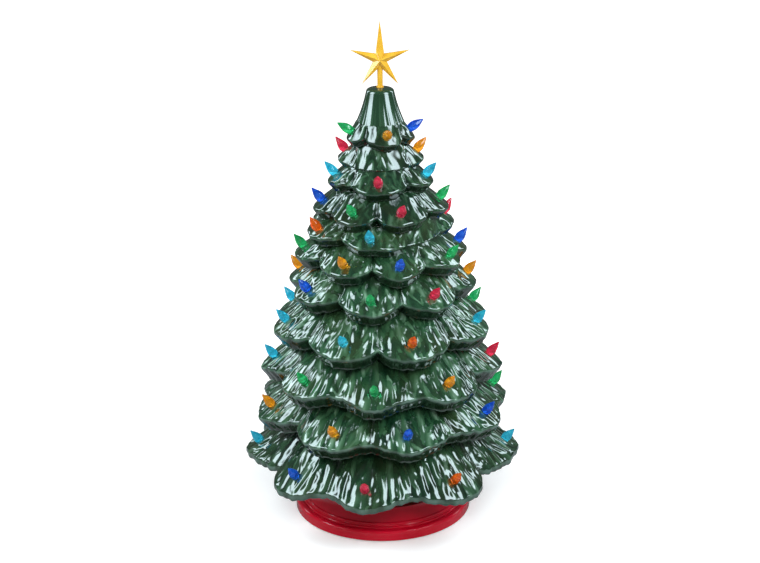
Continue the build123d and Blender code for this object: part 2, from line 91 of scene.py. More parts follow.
# Down a rim: share of its height, inset as a share of the height, lightness and painted sheen
# The lightness paints shade on the face under the lip and light lines near its top and its foot
RIM_ROWS = (
    (0.12, 0.02, 0.6, 1.0),
    (0.26, 0.11, 0.2, 0.5),
    (0.45, 0.27, 0.05, 0.0),
    (0.65, 0.43, 0.05, 0.0),
    (0.84, 0.56, 0.05, 0.0),
    (0.91, 0.575, 0.35, 0.5),
    (0.96, 0.59, 0.3, 0.5),
    (1.0, 0.68, 0.0, 0.0),
)
# On the lowest tier the painted sheen covers the whole rim, with painted shade growing towards its foot
LOWEST_RIM_ROWS = (
    (0.35, 0.0, 1.0, 1.0),
    (0.7, 0.08, 0.85, 1.0),
    (0.92, 0.22, 0.6, 1.0),
    (1.0, 0.46, 0.5, 1.0),
)

# Powers by which a lip falls from a bough's tip to its notch: above the skirt, and on the skirt at deep
# notches and on side boughs
BOUGH_FALL = 2
DEEP_FALL = 3
SIDE_FALL = 1.2
# Where a tier has no bough: how far its lip stands out from the trunk and above the tier's foot, and the
# share of a bough's side from which the bough fades
BARE_OUT = 0.6
BARE_UP = 0.8
BARE_FADE = 0.6
# Beside the front and the back of the skirt the notches are deeper: bearings, inset and rise
DEEP_FROM = 45.0
DEEP_TO = 80.0
DEEP_IN = 10.0
DEEP_UP = 4.0
# Side boughs: the sine of a bearing from which a bough is one. On the lowest tier: the share of the way to
# one that its neighbour takes, and the rise of its tip, the rise's reach in degrees and power down the bough
SIDE_SINE = 0.95
SIDE_MEET = 0.37
SIDE_LIFT = 8.0
SIDE_REACH = 24.0
SIDE_CURVE = 4
# Range of the depth of a fold, as a share of its full depth
FOLD_RANGE = (0.35, 1.0)

# Needles along each rib: ranges of the rib's height and lean, of its start as a share of the bough and of
# the step down it, how far they run past the lip, and degrees of ribs after a bough that ends bare
RIB_LIFT = (0.4, 1.25)
RIB_DRIFT = (-0.25, 0.25)
RIB_START = (-0.1, 0.1)
RIB_STEP = (10.0, 16.0)
RIB_OVERRUN = 4
BARE_RIBS = 90
# Needles are this much of their size at the axis and grow towards the tip
SMALLEST = 0.6
# A broad leaf on the rib: ranges of offset, lean, half length, half width and height, its shift down the
# bough, and its stretch on the skirt
LEAF_OFFSET = (-1.8, 1.8)
LEAF_LEAN = (-0.2, 0.2)
LEAF_HALF = (9.0, 16.0)
LEAF_WIDTH = (2.6, 4.2)
LEAF_HEIGHT = (0.9, 1.6)
LEAF_DOWN = 3
SKIRT_LEAF = 1.3
# Narrow needles beside it: share left out, also on the skirt, ranges of lean in degrees, half length, half
# width, height and shift, and share of the height on the skirt
NEEDLE_SKIP = 0.3
SKIRT_SKIP = 0.5
NEEDLE_LEAN = (20, 44)
NEEDLE_HALF = (8.0, 14.0)
NEEDLE_WIDTH = (2.0, 3.2)
NEEDLE_HEIGHT = (0.7, 1.3)
NEEDLE_SHIFT = (-1.5, 1.5)
SKIRT_NEEDLE = 0.65
# Shape of a needle: margin, taper, power of its ends, tone at its foot, and rounds of smoothing
NEEDLE_MARGIN = 0.5
NEEDLE_TAPER = 0.25
NEEDLE_END = 4
NEEDLE_FOOT_TONE = 0.3
SMOOTHING = 2
# Slow unevenness: number of waves, ranges of their length round the tree and down it, and divisor
UNEVEN_WAVES = 16
UNEVEN_ROUND = (16, 55)
UNEVEN_DOWN = (20, 70)
UNEVEN_DIVISOR = 4

# Upper face: spacing of points across and along, least number of close rows, and the few rows at its top,
# which from the tier of that index down reach further, under the tier above
ACROSS = 1.0
ALONG = 1.0
LEAST_ROWS = 8
HIDDEN_TIERS = 3
HIDDEN_START = -0.03
HIDDEN_SHARE = 0.12
HIDDEN_ROWS = 5
# Needles fade in the notches and round each bulb: what is left of them, and where they fade
NOTCH_REST = 0.2
NOTCH_FADE = 9
BULB_REST = 0.1
BULB_BARE = 2.4
BULB_FULL = 5.0
# Rise of the face: swell on the crest, groove in the notch, their mean and where they are full, mean of the
# needles, unevenness, how soon the rise is full, and folds
CREST_SWELL = 0.9
NOTCH_GROOVE = 2.6
NOTCH_POWER = 8
SWELL_MEAN = 0.3
SWELL_FULL = 0.5
NEEDLE_MEAN = 0.45
UNEVEN_RISE = 0.4
RISE_START = 6
FOLD_SINK = 0.5
# Tone of the glaze: at the ground, on needles, in folds and by unevenness
GROUND_TONE = 0.08
NEEDLE_TONE = 0.85
FOLD_TONE = 0.2
UNEVEN_TONE = 0.12
# Shade in the notches and under the tier above
NOTCH_SHADE = 0.75
COVER_START = 0.05
COVER_REACH = 0.4
# Lips: unevenness by needles and slow, and the stretch of the face that it takes
DROOP = 2.0
DROOP_SLOW = 1.0
DROOP_REACH = 9.0
# Lips: rounding, its loss where no bough is, steps round it, bite between needles and tone
LIP_ROUND = 3.0
SKIRT_LIP_ROUND = 2.2
BARE_ROUND = 0.75
LIP_STEPS = (0.2, 0.4, 0.6, 0.8, 1.0)
LIP_BITE = 0.4
LIP_TONE = 0.15
# Rims: share of the lip's unevenness, least height, tone, and mean, swing and least of the painted sheen
RIM_DROOP = 0.5
RIM_LEAST = 2
RIM_TONE = 0.45
SHEEN_MEAN = 0.6
SHEEN_SWING = 0.5
SHEEN_LEAST = 0.15
# Underside: steps in to the trunk, inset into it, rise, and a tone that is also its painted shade and sheen
UNDER_STEPS = (0.35, 0.7, 1.0)
UNDER_INSET = 1.5
UNDER_RISE = 1.0
UNDER_TONE_SHADE_AND_SHEEN = 0.3

# The neck: radii of foot, shoulder and crown, waist, and how far shoulder and crown lie below the top
NECK_R = 26.7
SHOULDER_R = 16.5
CROWN_R = 11.0
NECK_WAIST = 0.9
SHOULDER_DROP = 5.2
CROWN_DROP = 0.8
# From the crown into the star's hole: radius and depth below the top
HOLE_ROWS = ((7.0, 0.15), (3.6, 0.2), (STAR_HOLE_R, 8.9))
NECK_COLUMNS = 200
NECK_ROWS = 40
NECK_START = -0.05
SHOULDER_ROWS = 7
NECK_TONE = 0.35
SHOULDER_TONE = 0.45
# Streaks down the neck: waves round it with their phases, twist, sharpness, fade, height and tone
STREAKS = ((11, 0.0), (17, 1.3), (29, 2.1))
STREAK_TWIST = 1.4
STREAK_POWER = 3
STREAK_FADE = 0.8
STREAK_HEIGHT = 0.3
STREAK_TONE = 0.25

# The tree's collar: its top, its outer edges, a point on the lower one, and its inner edge
COLLAR_TOP = 69.0
COLLAR_EDGE = 2.0
EDGE_IN = 0.7
EDGE_UP = 0.6
INNER_EDGE_OUT = 1.0
INNER_EDGE_UP = 0.8
# The tree's inside: floor, radius, wall and shoulder of the hollow under the skirt, and its end at the crown
HOLLOW_FLOOR = 71.5
HOLLOW_R = 140.0
HOLLOW_WALL = 80.0
HOLLOW_SHOULDER = (97.0, 126.0)
CROWN_INNER_R = 12.0
INSIDE_COLUMNS = 96
# Turned pieces: columns, and tone of the glaze
TURNED_COLUMNS = 160
TURNED_TONE = 0.4

# A bulb from its stem to its tip: height above the glaze and radius
BULB_ROWS = (
    (-6.0, 0.3),
    (-5.9, 1.8),
    (-0.6, 1.8),
    (-0.4, 3.2),
    (0.3, 4.4),
    (1.4, 5.1),
    (3.0, 5.5),
    (4.8, 5.6),
    (6.8, 5.4),
    (9.0, 4.9),
    (11.1, 4.2),
    (13.2, 3.3),
    (15.3, 2.3),
    (17.3, 1.4),
    (18.7, 0.7),
    (19.5, 0.08),
)
BULB_COLUMNS = 30
# Lobes of a bulb: number, depth as a share of the radius, twist per millimetre, start and full height
LOBES = 6
LOBE_DEPTH = 0.055
LOBE_TWIST = 0.055
LOBE_START = 1.0
LOBE_FULL = 5.0

# Two beads round the foot of the base's cove: section radius, and ring radius and height of each
BEAD_R = 1.9
BEADS = ((98.9, 14.0), (96.3, 18.2))
BEAD_POINTS = 25
BEAD_START = 1.25 * math.pi
BEAD_COLUMNS = 240


def smooth(values, low, high):
    """Smooth step from 0 at the low value to 1 at the high one."""
    t = np.clip((values - low) / (high - low), 0, 1)
    return t * t * (3 - 2 * t)


def around(columns):
    """Bearings of a ring's columns, in degrees from the front."""
    return -180 + np.arange(columns) * 360 / columns


def turn_from(bearing, theta):
    """Degrees from a bearing, from -180 to 180."""
    return (theta - bearing + 180) % 360 - 180


def place(theta, radius, height):
    """Points at bearings, radii and heights."""
    turn = np.radians(theta)
    z = np.broadcast_to(height, radius.shape)
    return np.stack([radius * np.sin(turn), -radius * np.cos(turn), z], axis=-1)


def in_skirt(index):
    return index >= COUNT - SKIRT


def is_lowest(index):
    return index == COUNT - 1


def is_side(bearing):
    return abs(math.sin(math.radians(bearing))) > SIDE_SINE


def neck_z(index):
    """The height at which a tier starts, under the lip of the tier above."""
    return TIERS[index - 1].tip_z - LIP if index else NECK_FLOOR


def trunk_r(index):
    """The radius at which a tier's underside meets what is below it."""
    return FOOT_R if is_lowest(index) else TIERS[index + 1].neck_r


def crest(index):
    """A bough's reach outwards, its fall and the length of its crest."""
    tier = TIERS[index]
    out = tier.tip_r - tier.neck_r
    down = neck_z(index) - tier.tip_z
    return out, down, math.hypot(out, down)


def crest_r(index, y):
    """The radius of a tier's crest at a distance down it."""
    tier = TIERS[index]
    length = crest(index)[2]
    return tier.neck_r + (tier.tip_r - tier.neck_r) * min(max(y / length, 0), 1)


def meet(index, bearing, other):
    """The bearing at which a bough meets its neighbour."""
    share = 0.5
    if is_lowest(index) and is_side(bearing) != is_side(other):
        share = 1 - SIDE_MEET if is_side(bearing) else SIDE_MEET
    return bearing + (other - bearing) * share


def boughs(index):
    """(start, tip, end, start is bare, end is bare) bearings of each bough."""
    bearings = TIERS[index].bearings
    ring = []
    for number, tip in enumerate(bearings):
        last = bearings[number - 1]
        following = bearings[(number + 1) % len(bearings)]
        if last >= tip:
            last -= 360
        if following <= tip:
            following += 360
        bare_before = tip - last > BARE_GAP
        bare_after = following - tip > BARE_GAP
        start = tip - BARE_HALF if bare_before else meet(index, tip, last)
        end = tip + BARE_HALF if bare_after else meet(index, tip, following)
        ring.append((start, tip, end, bare_before, bare_after))
    return ring


def fold_steps(index, reach):
    """The number of half ribs from a bough's tip to its end."""
    arc = math.radians(reach) * TIERS[index].tip_r
    return 2 * max(0, round(arc / RIB_WIDTH - 0.5)) + 1


def lip_line(index, theta):
    """Round a tier: radius and height of the lip, nearness to a notch, folds, and absence of a bough."""
    tier = TIERS[index]
    skirt = in_skirt(index)
    bare_r = trunk_r(index) + BARE_OUT
    bare_z = tier.tip_z - LIP + BARE_UP
    radius = np.full(theta.shape, bare_r)
    height = np.full(theta.shape, bare_z)
    edge = np.zeros(theta.shape)
    fold = np.zeros(theta.shape)
    bare = np.ones(theta.shape)
    for start, tip, end, bare_before, bare_after in boughs(index):
        turn = turn_from(tip, theta)
        for side, reach, ends_bare in ((-1, tip - start, bare_before), (1, end - tip, bare_after)):
            inside = (turn * side >= 0) & (turn * side <= reach)
            t = np.abs(turn[inside]) / reach
            steps = fold_steps(index, reach)
            low_r = bare_r if ends_bare else tier.tip_r - tier.notch_in
            low_z = bare_z if ends_bare else tier.tip_z + tier.notch_up
            fall = 0.5 - 0.5 * np.cos(math.pi * t) if skirt else t**BOUGH_FALL
            # How far the notch is from the front or the back
            beside = abs((tip + side * reach + 90) % 180 - 90)
            if skirt and DEEP_FROM < beside < DEEP_TO:
                low_r -= DEEP_IN
                low_z += DEEP_UP
                fall = t**DEEP_FALL
            if skirt and is_side(tip):
                fall = t**SIDE_FALL
            radius[inside] = tier.tip_r + (low_r - tier.tip_r) * fall
            height[inside] = tier.tip_z + (low_z - tier.tip_z) * fall
            edge[inside] = 0 if ends_bare else t
            # Each fold has a depth of its own
            depths = rng.uniform(*FOLD_RANGE, steps + 1)
            depth = np.interp(t * steps, np.arange(steps + 1), depths)
            wave = depth * (0.5 - 0.5 * np.cos(math.pi * t * steps))
            fold[inside] = np.where(t * steps < steps - 1, wave, 0)
            bare[inside] = smooth(t, BARE_FADE, 1.0) if ends_bare else 0
    return radius, height, edge, fold, bare


def side_lift(index, theta):
    """How far the tips of the lowest tier's side boughs rise, round the tier."""
    lift = np.zeros(theta.shape)
    if is_lowest(index):
        for tip in filter(is_side, TIERS[index].bearings):
            lift += SIDE_LIFT * (1 - smooth(np.abs(turn_from(tip, theta)), 0, SIDE_REACH))
    return lift


def rib_list(index):
    """Bearings of a tier's ribs: each bough's crest, the ribs beside it, and those where no bough is."""
    ribs = []
    for start, tip, end, _, bare_after in boughs(index):
        ribs.append(tip)
        for last in (start, end):
            steps = fold_steps(index, abs(last - tip))
            ribs += [tip + (last - tip) * step / steps for step in range(2, steps, 2)]
        if bare_after:
            ribs += list(np.arange(end, end + BARE_RIBS, math.degrees(RIB_WIDTH / TIERS[index].tip_r)))
    return ribs


def needle_list(index):
    """Needles of a tier: bearing, distance down the bough, lean, half length, half width, height and tone."""
    length = crest(index)[2]
    skirt = in_skirt(index)
    leaf_stretch = SKIRT_LEAF if skirt else 1.0
    needle_height = SKIRT_NEEDLE if skirt else 1.0
    skip = SKIRT_SKIP if skirt else NEEDLE_SKIP
    found = []
    for rib in rib_list(index):
        lift = rng.uniform(*RIB_LIFT)
        drift = rng.uniform(*RIB_DRIFT)
        y = length * rng.uniform(*RIB_START)
        while y < length + RIB_OVERRUN:
            radius = crest_r(index, y)
            grow = (SMALLEST + (1 - SMALLEST) * radius / TIERS[index].tip_r) * BOLD[index]
            bearing = rib + math.degrees(rng.uniform(*LEAF_OFFSET) / radius)
            lean = drift + rng.uniform(*LEAF_LEAN)
            half = rng.uniform(*LEAF_HALF) * grow * leaf_stretch
            width = rng.uniform(*LEAF_WIDTH) * grow
            height = rng.uniform(*LEAF_HEIGHT) * lift * grow
            found.append((bearing, y + LEAF_DOWN, lean, half, width, height, rng.random()))
            for side in (-1, 1):
                if rng.random() < skip:
                    continue
                lean = drift + side * math.radians(rng.uniform(*NEEDLE_LEAN))
                half = rng.uniform(*NEEDLE_HALF) * grow
                width = rng.uniform(*NEEDLE_WIDTH) * grow
                turn = bearing + math.degrees(half * math.sin(lean) / radius)
                down_bough = y + half * math.cos(lean) + rng.uniform(*NEEDLE_SHIFT)
                height = rng.uniform(*NEEDLE_HEIGHT) * lift * grow * needle_height
                found.append((turn, down_bough, lean, half, width, height, rng.random()))
            y += rng.uniform(*RIB_STEP) * grow
    return found


def relief(index, theta, y_rows):
    """Height and tone of the needles over a tier's upper face."""
    columns = len(theta)
    step = 360 / columns
    field = np.zeros((len(y_rows), columns))
    leaf = np.zeros((len(y_rows), columns))
    for bearing, y, lean, half, width, lift, light in needle_list(index):
        radius = crest_r(index, y)
        reach_x = half * abs(math.sin(lean)) + width + NEEDLE_MARGIN
        reach_y = half * math.cos(lean) + width + NEEDLE_MARGIN
        first_row, end_row = np.searchsorted(y_rows, (y - reach_y, y + reach_y))
        if end_row <= first_row:
            continue
        span = math.degrees(reach_x / radius)
        first_column = math.floor((bearing - span - theta[0]) / step)
        last_column = math.ceil((bearing + span - theta[0]) / step)
        at = np.arange(first_column, last_column + 1)
        x = np.radians(theta[0] + at * step - bearing)[None, :] * radius
        dy = (y_rows[first_row:end_row] - y)[:, None]
        along = (x * math.sin(lean) + dy * math.cos(lean)) / half
        across = (x * math.cos(lean) - dy * math.sin(lean)) / (width * (1 - NEEDLE_TAPER * along))
        ridge = np.clip(1 - across**2, 0, 1) * np.clip(1 - along**NEEDLE_END, 0, 1)
        window = np.ix_(np.arange(first_row, end_row), at % columns)
        tone = light * (NEEDLE_FOOT_TONE + (1 - NEEDLE_FOOT_TONE) * ridge)
        leaf[window] = np.where(lift * ridge > field[window], tone, leaf[window])
        field[window] = np.maximum(field[window], lift * ridge)
    for _ in range(SMOOTHING):
        field = (np.roll(field, 1, 1) + 2 * field + np.roll(field, -1, 1)) / 4
        padded = np.pad(field, ((1, 1), (0, 0)), "edge")
        field = (padded[:-2] + 2 * field + padded[2:]) / 4
    return field, leaf


def unevenness(theta, y_rows, radius):
    """Slow unevenness of a hand-finished surface, about -1 to 1."""
    turn = np.radians(theta)[None, :]
    y = y_rows[:, None]
    field = np.zeros((len(y_rows), len(theta)))
    for _ in range(UNEVEN_WAVES):
        waves = round(2 * math.pi * radius / rng.uniform(*UNEVEN_ROUND))
        climb = rng.choice((-1, 1)) * 2 * math.pi / rng.uniform(*UNEVEN_DOWN)
        field += np.cos(waves * turn + climb * y + rng.uniform(0, 2 * math.pi))
    return field / UNEVEN_DIVISOR


def link(name, mesh):
    obj = bpy.data.objects.new(name, mesh)
    bpy.context.scene.collection.objects.link(obj)
    return obj


def ring_mesh(name, grid, attributes):
    """A mesh from a grid of points in millimetres, rows by columns, that closes round the axis."""
    rows, columns, _ = grid.shape
    mesh = bpy.data.meshes.new(name)
    number = np.arange(rows * columns).reshape(rows, columns)
    right = np.roll(number, -1, axis=1)
    quads = np.stack([number[:-1], number[1:], right[1:], right[:-1]], axis=-1).reshape(-1, 4)
    mesh.vertices.add(rows * columns)
    mesh.vertices.foreach_set("co", (grid.reshape(-1) * MM).astype(np.float32))
    mesh.loops.add(quads.size)
    mesh.loops.foreach_set("vertex_index", quads.reshape(-1).astype(np.int32))
    mesh.polygons.add(len(quads))
    mesh.polygons.foreach_set("loop_start", np.arange(0, quads.size, 4, dtype=np.int32))
    mesh.polygons.foreach_set("use_smooth", np.ones(len(quads), dtype=bool))
    mesh.update(calc_edges=True)
    mesh.validate()
    for key, values in attributes.items():
        layer = mesh.attributes.new(key, "FLOAT", "POINT")
        layer.data.foreach_set("value", values.reshape(-1).astype(np.float32))
    return link(name, mesh)


def face_rows(index, length, last_s):
    """Rows of an upper face, as shares of its length: a few under the tier above, then close ones."""
    covered = HIDDEN_SHARE if index >= HIDDEN_TIERS else 0.0
    fine = max(LEAST_ROWS, round(length * (last_s - covered) / ALONG))
    hidden = np.linspace(HIDDEN_START, covered, HIDDEN_ROWS)[:-1]
    return np.concatenate([hidden, np.linspace(covered, last_s, fine)])


def fade_needles(index, theta, s, edge, field):
    """Needles made weaker in the notches and round each bulb."""
    length = crest(index)[2]
    fade = NOTCH_REST + (1 - NOTCH_REST) * np.minimum(1, (1 - edge)[None, :] * NOTCH_FADE)
    field = field * fade * SOFTNESS[index]
    seat = length - BULB_EDGE - BULB_SHARE * length
    for tip in TIERS[index].bearings:
        x = np.radians(turn_from(tip, theta))[None, :] * crest_r(index, seat)
        away = np.hypot(x, s * length - seat)
        field = field * (BULB_REST + (1 - BULB_REST) * smooth(away, BULB_BARE, BULB_FULL))
    return field


def add_row(skin, points, tone, shade, painted_sheen):
    """Adds a row of points, with the glaze's tone, painted shade and painted sheen at them, to a skin."""
    skin["place"].append(points[None])
    for key, value in (("tone", tone), ("shade", shade), ("painted_sheen", painted_sheen)):
        skin[key].append(np.broadcast_to(value, (1, len(points))))


def tier_piece(index):
    """One tier's glazed skin: upper face with needle relief, rounded lip, rim and underside."""
    tier = TIERS[index]
    out, down, length = crest(index)
    theta = around(round(2 * math.pi * tier.tip_r / ACROSS))
    lip_r, lip_z, edge, fold, bare = lip_line(index, theta)
    bough = 1 - bare
    sin_a = down / length
    cos_a = out / length
    start_angle = math.atan2(cos_a, sin_a)
    lip_round = SKIRT_LIP_ROUND if in_skirt(index) else LIP_ROUND
    s_rows = face_rows(index, length, 1 - lip_round * math.tan(start_angle / 2) / length)
    s = s_rows[:, None]
    field, leaf = relief(index, theta, s_rows * length)
    field = fade_needles(index, theta, s, edge, field)
    uneven = unevenness(theta, s_rows * length, tier.tip_r)

    # Upper face: boughs swell along the crest and sink towards the notches and in the folds
    depth = FOLD_DEPTH * min(1, length / FOLD_FULL)
    sunk = depth * fold[None, :] * np.clip(s, 0, 1)
    swell = CREST_SWELL * (1 - edge**2) - NOTCH_GROOVE * edge**NOTCH_POWER - SWELL_MEAN
    swell = swell[None, :] * smooth(s, 0.0, SWELL_FULL) * bough[None, :]
    rise = field - NEEDLE_MEAN * SOFTNESS[index] + UNEVEN_RISE * uneven + SWELL[index] * swell
    raised = rise * np.clip(s * RISE_START, 0, 1) - FOLD_SINK * sunk
    radius = tier.neck_r + (lip_r - tier.neck_r)[None, :] * s + raised * sin_a
    height = neck_z(index) + (lip_z - neck_z(index))[None, :] * s + raised * cos_a
    # Needles that end at the lip make it uneven
    last = field[-1]
    droop = (DROOP * (last - last.mean()) + DROOP_SLOW * uneven[-1]) * bough
    height = height - droop * smooth(s, 1 - DROOP_REACH / length, 1.0)
    lift = side_lift(index, theta)
    height = height + lift * np.clip(s, 0, 1) ** SIDE_CURVE
    tone = GROUND_TONE + NEEDLE_TONE * leaf - FOLD_TONE * sunk / depth + UNEVEN_TONE * uneven
    tone = np.clip(tone, 0, 1)
    # Painted shade: darker towards the notches and, below the top tier, under the tier above
    shade = np.ones_like(tone) * (1 - NOTCH_SHADE * edge[None, :] ** NOTCH_POWER)
    if index:
        shade = shade * np.clip((s + COVER_START) / COVER_REACH, 0, 1)
    shade = np.maximum(shade, bare[None, :])
    upper = place(theta[None, :], radius, height)
    skin = {"place": [upper], "tone": [tone], "shade": [shade], "painted_sheen": [np.zeros_like(tone)]}

    # Lip, with a painted sheen that grows round its rounding
    round_r = lip_round * (1 - BARE_ROUND * bare)
    centre_r = radius[-1] - round_r * sin_a
    centre_z = height[-1] - round_r * cos_a
    # Painted sheen of lip and rim, stronger and weaker at random along the lip
    sheen = TIER_SHEEN[index] * bough * np.clip(SHEEN_MEAN + SHEEN_SWING * uneven[-1], SHEEN_LEAST, 1)
    for step in LIP_STEPS:
        angle = start_angle * (1 - step)
        r = centre_r + round_r * math.cos(angle) - last * LIP_BITE * step
        z = centre_z + round_r * math.sin(angle)
        lip_tone = np.clip(tone[-1] + LIP_TONE * step, 0, 1)
        add_row(skin, place(theta, r, z), lip_tone, 1.0, step**2 * sheen)

    # Rim: painted shade on its face, painted light lines near its top and foot, and painted sheen
    face_r = centre_r + round_r
    low = np.minimum(lip_z + lift - RIM[index] - RIM_DROOP * droop, centre_z - RIM_LEAST)
    low = low * bough + (tier.tip_z - LIP) * bare
    rim_rows = LOWEST_RIM_ROWS if is_lowest(index) else RIM_ROWS
    for share, inset, light, row_sheen in rim_rows:
        r = face_r - last * LIP_BITE * (1 - share) - inset * RIM[index] * bough - BARE_OUT * share * bare
        z = centre_z + (low - centre_z) * share
        add_row(skin, place(theta, r, z), RIM_TONE * light, light * bough + bare, row_sheen * sheen)

    # Underside, in one dark value for its tone, painted shade and painted sheen
    last_inset = rim_rows[-1][1] * RIM[index]
    trunk = trunk_r(index) - UNDER_INSET
    inner_z = tier.tip_z - LIP + UNDER_RISE
    for share in UNDER_STEPS:
        r = (face_r - last_inset) * (1 - share) + trunk * share
        z = low * (1 - share) + inner_z * share
        add_row(skin, place(theta, r, z), UNDER_TONE_SHADE_AND_SHEEN, UNDER_TONE_SHADE_AND_SHEEN, UNDER_TONE_SHADE_AND_SHEEN)

    whole = {key: np.concatenate(rows) for key, rows in skin.items()}
    grid = whole.pop("place")
    # Painted shade over the whole tier
    whole["shade"] = whole["shade"] * TIER_PAINTED_LIGHTNESS[index]
    return ring_mesh("tree_tier_%02d" % (index + 1), grid, whole)


def revolve(name, outline, columns=TURNED_COLUMNS):
    """A turned mesh from an outline of (radius, height) points."""
    theta = around(columns)
    grid = np.stack([place(theta, np.full(columns, float(r)), float(z)) for r, z in outline])
    size = grid.shape[:2]
    attributes = {"tone": np.full(size, TURNED_TONE), "shade": np.ones(size), "painted_sheen": np.zeros(size)}
    return ring_mesh(name, grid, attributes)


def neck_piece():
    """The plain flared neck with its rounded top and the star's hole."""
    columns = NECK_COLUMNS
    theta = around(columns)
    shoulder_z = TREE_TOP - SHOULDER_DROP
    rows = []
    tones = []
    for share in np.linspace(NECK_START, 1, NECK_ROWS):
        risen = min(max(share, 0), 1)
        z = NECK_FLOOR + (shoulder_z - NECK_FLOOR) * share
        r = NECK_R + (SHOULDER_R - NECK_R) * share - NECK_WAIST * math.sin(math.pi * risen)
        # Long shallow needle streaks that fade out towards the top
        streak = np.zeros(columns)
        for waves, phase in STREAKS:
            wave = np.sin(np.radians(theta) * waves + phase + STREAK_TWIST * share)
            streak += np.maximum(0, wave) ** STREAK_POWER
        streak *= (1 - risen) ** STREAK_FADE
        rows.append(place(theta, r + STREAK_HEIGHT * streak, z))
        tones.append(np.clip(NECK_TONE + STREAK_TONE * streak, 0, 1))
    for angle in np.radians(np.linspace(0, 90, SHOULDER_ROWS)[1:]):
        r = CROWN_R + (SHOULDER_R - CROWN_R) * math.cos(angle)
        z = shoulder_z + (SHOULDER_DROP - CROWN_DROP) * math.sin(angle)
        rows.append(place(theta, np.full(columns, r), z))
        tones.append(np.full(columns, SHOULDER_TONE))
    for r, depth in HOLE_ROWS:
        rows.append(place(theta, np.full(columns, r), TREE_TOP - depth))
        tones.append(np.full(columns, NECK_TONE))
    grid = np.stack(rows)[::-1]
    tone = np.stack(tones)[::-1]
    # Painted shade over the whole neck, as much as on the top tier
    shade = np.full(tone.shape, TIER_PAINTED_LIGHTNESS[0])
    return ring_mesh("tree_neck", grid, {"tone": tone, "shade": shade, "painted_sheen": np.zeros(tone.shape)})


def bulb_place(index, bearing):
    """A bulb's origin on its bough's crest, and its axes with Z out of the bough, as in the CAD."""
    tier = TIERS[index]
    out, down, length = crest(index)
    inset = BULB_EDGE / length + BULB_SHARE
    turn = math.radians(bearing)
    radial = Vector((math.sin(turn), -math.cos(turn), 0))
    seat = radial * (tier.tip_r - inset * out) + Vector((0, 0, tier.tip_z + inset * down))
    z_axis = (radial * down + Vector((0, 0, out))).normalized()
    x_axis = Vector((math.cos(turn), math.sin(turn), 0))
    axes = Matrix((x_axis, z_axis.cross(x_axis), z_axis)).transposed()
    return seat, axes


def bulb_piece(letter):
    """All bulbs of one colour: twisted, lobed teardrops on their stems."""
    turns = np.arange(BULB_COLUMNS) * 2 * math.pi / BULB_COLUMNS
    points = []
    quads = []
    for index, tier in enumerate(TIERS):
        for bearing, colour in zip(tier.bearings, tier.colours):
            if colour != letter:
                continue
            seat, axes = bulb_place(index, bearing)
            spin = rng.uniform(0, 2 * math.pi)
            first = len(points)
            for z, r in BULB_ROWS:
                depth = LOBE_DEPTH * smooth(z, LOBE_START, LOBE_FULL)
                lobe = depth * np.cos(LOBES * (turns + LOBE_TWIST * z))
                for turn, swell in zip(turns + spin, lobe):
                    reach = r * (1 + swell)
                    local = Vector((reach * math.cos(turn), reach * math.sin(turn), z))
                    points.append((seat + axes @ local) * MM)
            for row in range(len(BULB_ROWS) - 1):
                for column in range(BULB_COLUMNS):
                    a = first + row * BULB_COLUMNS + column
                    b = first + row * BULB_COLUMNS + (column + 1) % BULB_COLUMNS
                    quads.append((a, b, b + BULB_COLUMNS, a + BULB_COLUMNS))
    mesh = bpy.data.meshes.new("bulbs_" + COLOURS[letter] + "_look")
    mesh.from_pydata(points, [], quads)
    mesh.polygons.foreach_set("use_smooth", np.ones(len(quads), dtype=bool))
    mesh.update()
    return link(mesh.name, mesh)


def bead_piece(number):
    """A bead round the foot of the base's cove, with the seam of its section inside the base."""
    ring_r, ring_z = BEADS[number]
    section = []
    for angle in np.linspace(BEAD_START, BEAD_START - 2 * math.pi, BEAD_POINTS):
        section.append((ring_r + BEAD_R * math.cos(angle), ring_z + BEAD_R * math.sin(angle)))
    return revolve("base_bead_%d" % (number + 1), section, BEAD_COLUMNS)


# Materials

# Green glaze from pooled to thin, its olive clouds, painted sheen on rims, and how dark painted shade makes
# it
GLAZE_STOPS = (
    (0.0, (0.005, 0.024, 0.011)),
    (0.35, (0.016, 0.062, 0.027)),
    (0.7, (0.046, 0.120, 0.058)),
    (1.0, (0.165, 0.285, 0.190)),
)
OLIVE = (0.04, 0.06, 0.016)
OLIVE_STOPS = ((0.42, (0, 0, 0)), (0.72, (1, 1, 1)))
OLIVE_SHARE = 0.5
SHEEN_COLOUR = (0.17, 0.28, 0.22)
SHEEN_SHARE = 0.75
SHADED = 0.35
# Between which colours the red glaze and the lamp's glass vary
RED = ((0.66, 0.002, 0.018), (0.8, 0.005, 0.03))
GLASS = ((0.92, 0.94, 0.95), (0.98, 0.99, 1.0))
# Deep and bright colours of the bulbs
BULB_COLOURS = {
    "R": ((0.6, 0.014, 0.055), (0.9, 0.06, 0.14)),
    "G": ((0.01, 0.32, 0.09), (0.05, 0.62, 0.22)),
    "B": ((0.008, 0.07, 0.55), (0.03, 0.2, 0.85)),
    "Q": ((0.015, 0.42, 0.62), (0.08, 0.66, 0.85)),
    "A": ((0.7, 0.27, 0.008), (0.95, 0.45, 0.03)),
    "O": ((0.72, 0.1, 0.006), (0.95, 0.22, 0.02)),
}
# Noise: its roughness, and the values at which a ramp of colours or of gloss starts and ends
NOISE_ROUGHNESS = 0.55
NOISE_LOW = 0.3
NOISE_HIGH = 0.7
GLOSS_HIGH = 0.8
# Opaque materials: least and greatest roughness as shares of the mean
ROUGHNESS_LOW = 0.8
ROUGHNESS_HIGH = 1.2
# Detail of the noise under a grain
GRAIN_DETAIL = 2
# Sockets of a colour mix node: the two colours and the result
MIX_A = 6
MIX_B = 7
MIX_RESULT = 2


